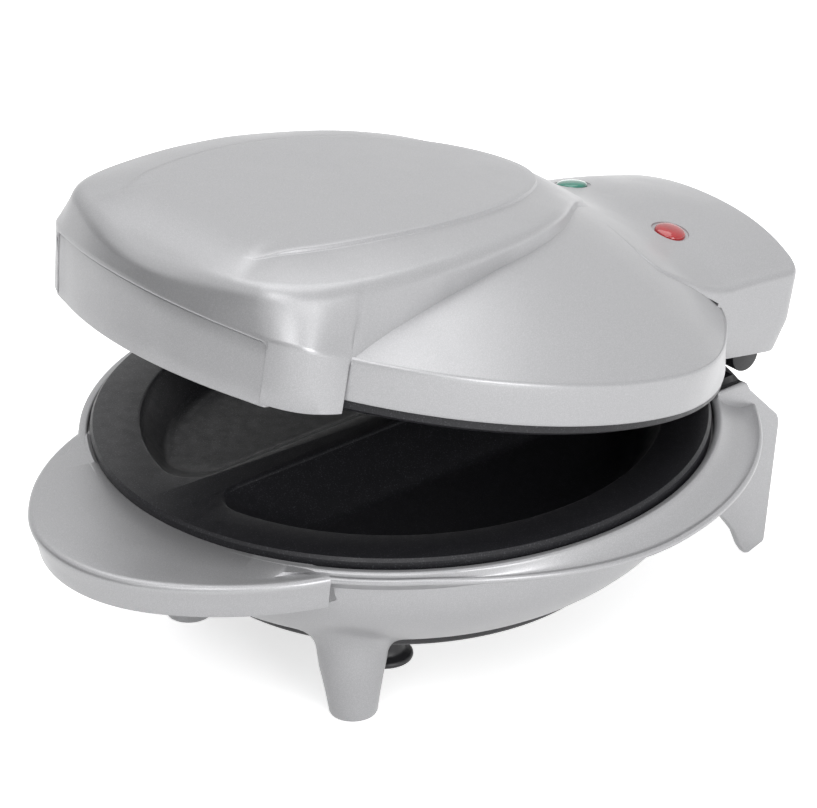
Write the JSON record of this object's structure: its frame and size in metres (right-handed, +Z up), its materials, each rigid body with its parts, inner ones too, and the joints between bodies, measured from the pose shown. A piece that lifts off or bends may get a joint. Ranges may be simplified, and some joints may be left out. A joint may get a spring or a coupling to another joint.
{
  "type": "omelette maker",
  "caption": "Round countertop cooker with a domed lid hinged at the back, two half-moon non-stick pans, front grips and indicator lenses.",
  "frame": {"origin": "on the floor, under the middle of the width and depth, with the lid at its pictured angle", "axes": "+Z up, -Y towards the front grip, +X to the right as seen from the front, hinge axis along X"},
  "size_m": [0.2394, 0.3046, 0.1792],
  "materials": {
    "silver_paint": "metallic silver paint with a fine flake",
    "black_plastic": "satin moulded",
    "non_stick_coating": "cast plate with a dark non-stick coating",
    "bright_steel": "bright drawn",
    "aluminised_sheet": "pressed sheet",
    "rubber": "matt",
    "ceramic": "unglazed",
    "red_lens": "clear tinted",
    "green_lens": "clear tinted",
    "lamp_glass": "clear",
    "circuit_board": "bare laminate"
  },
  "bodies": {
    "base": {"base_shell": "silver_paint", "hinge_bracket": "black_plastic", "hinge_pin": "bright_steel", "lower_plate": "non_stick_coating", "lower_heater": "bright_steel", "lower_heat_shield": "aluminised_sheet", "lower_thermostat": "ceramic", "thermal_fuse": "ceramic", "bottom_cover": "black_plastic", "terminal_block": "ceramic", "cover_screw_1": "bright_steel", "cover_screw_2": "bright_steel", "cover_screw_3": "bright_steel", "cover_screw_4": "bright_steel", "front_pad_left": "rubber", "front_pad_right": "rubber", "cord_grommet": "rubber"},
    "lid": {"lid_shell": "silver_paint", "grip_panel": "silver_paint", "upper_plate": "non_stick_coating", "upper_heater": "bright_steel", "upper_heat_shield": "aluminised_sheet", "upper_thermostat": "ceramic", "hinge_cover": "black_plastic", "red_lens": "red_lens", "green_lens": "green_lens", "red_lamp": "lamp_glass", "green_lamp": "lamp_glass", "lamp_board": "circuit_board"}
  },
  "joints": [
    {"name": "lid_hinge", "type": "hinge", "parent": "base", "child": "lid", "pos_m": [0, 0.12168, 0.0726], "axis": [-1, 0, 0], "range_deg": [-14, 81]}
  ]
}
